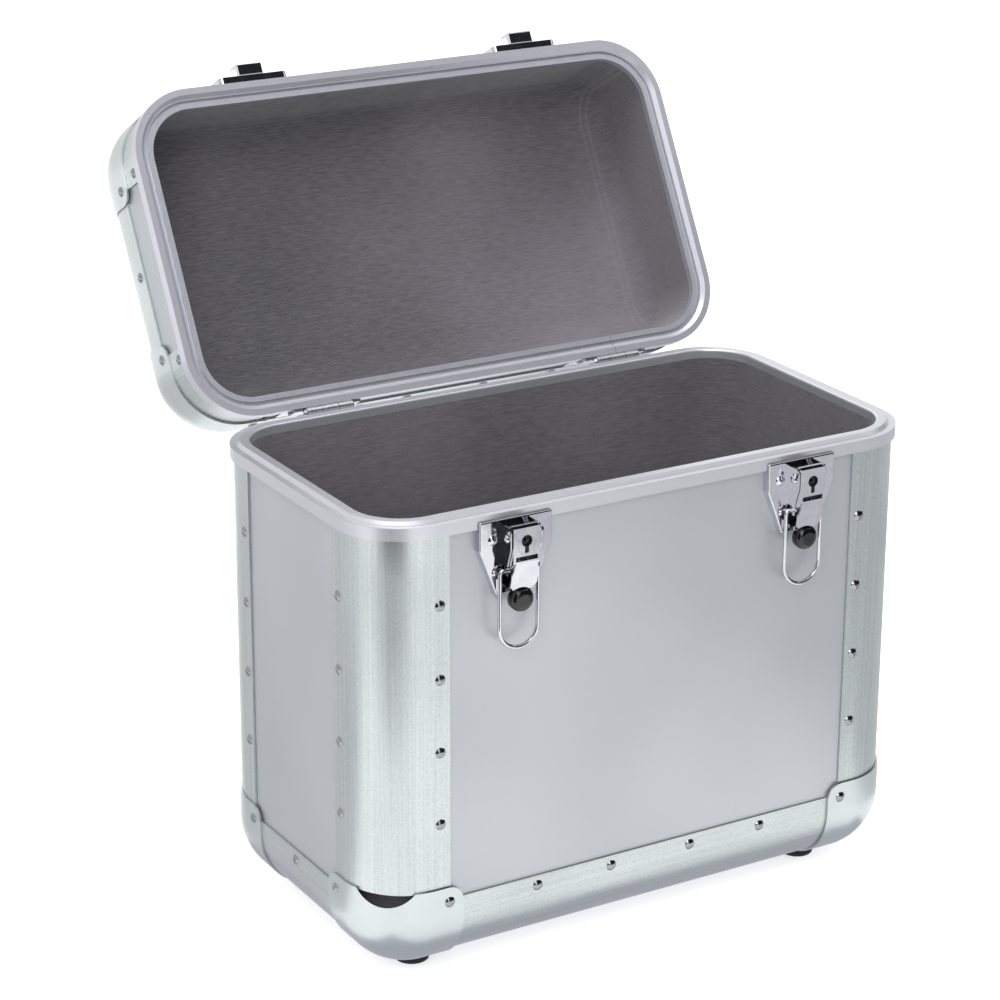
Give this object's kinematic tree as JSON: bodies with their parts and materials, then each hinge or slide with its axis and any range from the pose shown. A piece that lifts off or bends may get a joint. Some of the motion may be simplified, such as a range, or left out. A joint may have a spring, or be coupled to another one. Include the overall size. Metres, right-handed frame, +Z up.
{
  "type": "record carrying case",
  "caption": "Hard carrying case for records with a hinged lid swung open, rounded corner extrusions, ball corners, draw latches and a carrying handle",
  "frame": {"origin": "on the resting plane under the feet, at the middle of the case body", "axes": "+X runs along the front to the right, -Y is the front with the latches, +Z is up"},
  "size_m": [0.386, 0.3929, 0.49],
  "materials": {
    "wall_laminate": "satin",
    "corner_aluminium": "satin",
    "ball_aluminium": "satin",
    "rim_aluminium": "satin",
    "lining_cloth": "matte",
    "rivet_aluminium": "gloss",
    "foot_rubber": "matte",
    "screw_steel": "satin",
    "hinge_steel": "satin",
    "pin_steel": "gloss",
    "rivet_steel": "polished",
    "latch_chrome": "polished",
    "lock_dark": "matte",
    "knob_black": "gloss",
    "spring_dark": "satin",
    "wire_chrome": "polished",
    "grip_plastic": "matte"
  },
  "bodies": {
    "case_base": {"front_panel": "wall_laminate", "back_panel": "wall_laminate", "left_panel": "wall_laminate", "right_panel": "wall_laminate", "bottom_panel": "wall_laminate", "front_left_post": "corner_aluminium", "front_right_post": "corner_aluminium", "back_left_post": "corner_aluminium", "back_right_post": "corner_aluminium", "front_bottom_edge": "corner_aluminium", "back_bottom_edge": "corner_aluminium", "left_bottom_edge": "corner_aluminium", "right_bottom_edge": "corner_aluminium", "base_ball_front_left": "ball_aluminium", "base_ball_front_right": "ball_aluminium", "base_ball_back_left": "ball_aluminium", "base_ball_back_right": "ball_aluminium", "body_rim": "rim_aluminium", "base_lining": "lining_cloth", "base_rivets": "rivet_aluminium", "rubber_feet": "foot_rubber", "foot_screws": "screw_steel", "hinge_body_leaves": "hinge_steel", "hinge_pins": "pin_steel", "hinge_body_rivets": "rivet_steel", "left_latch_plate": "latch_chrome", "right_latch_plate": "latch_chrome", "latch_pins": "pin_steel", "latch_rivets": "rivet_steel"},
    "lid": {"lid_front_panel": "wall_laminate", "lid_back_panel": "wall_laminate", "lid_left_panel": "wall_laminate", "lid_right_panel": "wall_laminate", "lid_top_panel": "wall_laminate", "lid_corner_posts": "corner_aluminium", "lid_front_edge": "corner_aluminium", "lid_back_edge": "corner_aluminium", "lid_left_edge": "corner_aluminium", "lid_right_edge": "corner_aluminium", "lid_ball_corners": "ball_aluminium", "lid_rim": "rim_aluminium", "lid_lining": "lining_cloth", "lid_rivets": "rivet_aluminium", "lid_fitting_rivets": "rivet_steel", "lid_catches": "latch_chrome", "hinge_lid_leaves": "hinge_steel", "handle_brackets": "hinge_steel"},
    "left_lever": {"left_latch_lever": "latch_chrome", "left_lock_case": "lock_dark", "left_latch_knob": "knob_black", "left_latch_spring": "spring_dark"},
    "right_lever": {"right_latch_lever": "latch_chrome", "right_lock_case": "lock_dark", "right_latch_knob": "knob_black", "right_latch_spring": "spring_dark"},
    "left_bail": {"left_latch_bail": "wire_chrome"},
    "right_bail": {"right_latch_bail": "wire_chrome"},
    "handle": {"handle_bail": "wire_chrome", "handle_grip": "grip_plastic"}
  },
  "joints": [
    {"name": "lid_hinge", "type": "hinge", "parent": "case_base", "child": "lid", "pos_m": [0, 0.1085, 0.2945], "axis": [1, 0, 0], "range_deg": [0, 119]},
    {"name": "left_lever_pivot", "type": "hinge", "parent": "case_base", "child": "left_lever", "pos_m": [-0.0995, -0.114, 0.2815], "axis": [-1, 0, 0], "range_deg": [0, 60]},
    {"name": "right_lever_pivot", "type": "hinge", "parent": "case_base", "child": "right_lever", "pos_m": [0.0995, -0.114, 0.2815], "axis": [-1, 0, 0], "range_deg": [0, 60]},
    {"name": "left_bail_pivot", "type": "hinge", "parent": "left_lever", "child": "left_bail", "pos_m": [-0.0995, -0.1105, 0.261], "axis": [-1, 0, 0], "range_deg": [-3, 140]},
    {"name": "right_bail_pivot", "type": "hinge", "parent": "right_lever", "child": "right_bail", "pos_m": [0.0995, -0.1105, 0.261], "axis": [-1, 0, 0], "range_deg": [-3, 140]},
    {"name": "handle_pivot", "type": "hinge", "parent": "lid", "child": "handle", "pos_m": [0, 0.24257, 0.34424], "axis": [1, 0, 0], "range_deg": [-28, 61]}
  ]
}
